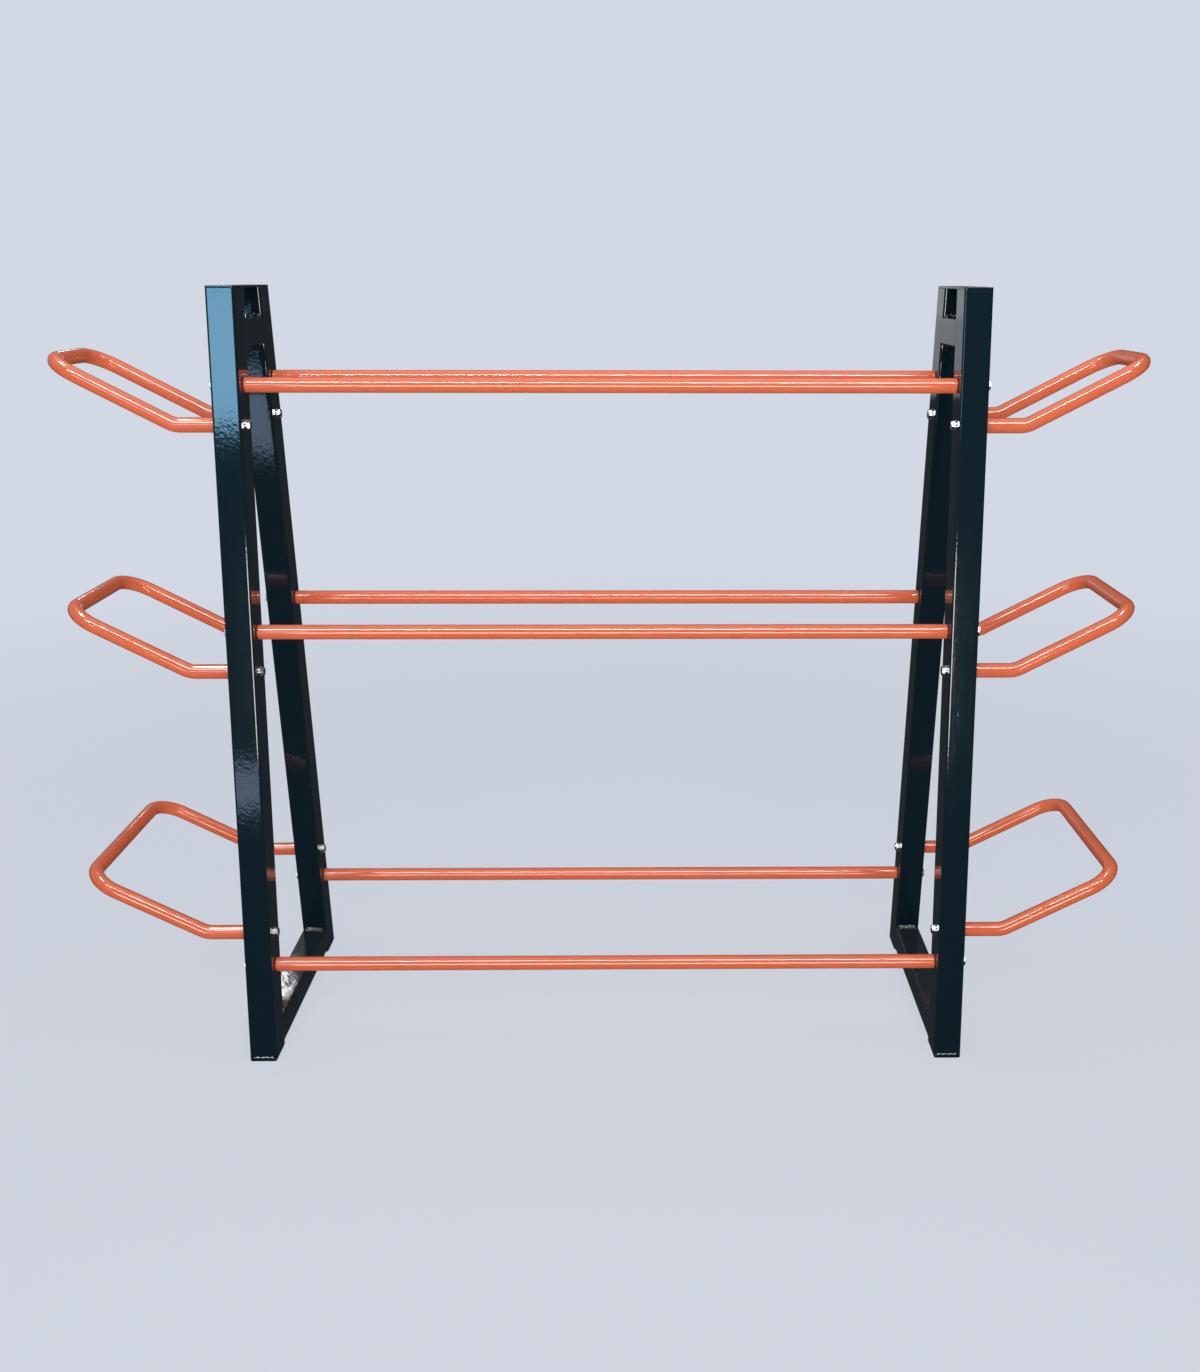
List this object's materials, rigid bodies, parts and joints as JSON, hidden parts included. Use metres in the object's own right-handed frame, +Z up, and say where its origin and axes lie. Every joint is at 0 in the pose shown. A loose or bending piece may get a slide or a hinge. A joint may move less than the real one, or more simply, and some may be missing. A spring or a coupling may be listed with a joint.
{
  "type": "dumbbell rack",
  "caption": "Free-standing A-frame storage rack: leaning box-tube side frames joined by paired round rails, with bent tube loops sticking out and up at both sides.",
  "frame": {"origin": "on the floor, midway between the two side frames and midway from front to back", "axes": "+X along the rails towards the right side frame, +Y from front to back, +Z up"},
  "size_m": [2.3416, 0.6344, 1.69],
  "materials": {
    "frame_powder_coat": "high-gloss blue-black powder coat",
    "tube_powder_coat": "glossy coral-orange powder coat",
    "zinc_plate": "bright zinc plate"
  },
  "bodies": {
    "root": {"left_front_post": "frame_powder_coat", "left_rear_post": "frame_powder_coat", "left_base_runner": "frame_powder_coat", "left_top_brace": "frame_powder_coat", "left_top_plate": "frame_powder_coat", "left_foot_plates": "frame_powder_coat", "left_weld_beads": "frame_powder_coat", "right_front_post": "frame_powder_coat", "right_rear_post": "frame_powder_coat", "right_base_runner": "frame_powder_coat", "right_top_brace": "frame_powder_coat", "right_top_plate": "frame_powder_coat", "right_foot_plates": "frame_powder_coat", "right_weld_beads": "frame_powder_coat", "bottom_front_rail": "tube_powder_coat", "bottom_rear_rail": "tube_powder_coat", "middle_front_rail": "tube_powder_coat", "middle_rear_rail": "tube_powder_coat", "top_front_rail": "tube_powder_coat", "top_rear_rail": "tube_powder_coat", "rail_end_caps": "tube_powder_coat", "rail_bolts": "zinc_plate", "rail_washers": "zinc_plate", "left_bottom_loop": "tube_powder_coat", "left_middle_loop": "tube_powder_coat", "left_top_loop": "tube_powder_coat", "right_bottom_loop": "tube_powder_coat", "right_middle_loop": "tube_powder_coat", "right_top_loop": "tube_powder_coat", "loop_end_caps": "tube_powder_coat", "loop_bolts": "zinc_plate", "loop_washers": "zinc_plate"}
  },
  "joints": []
}
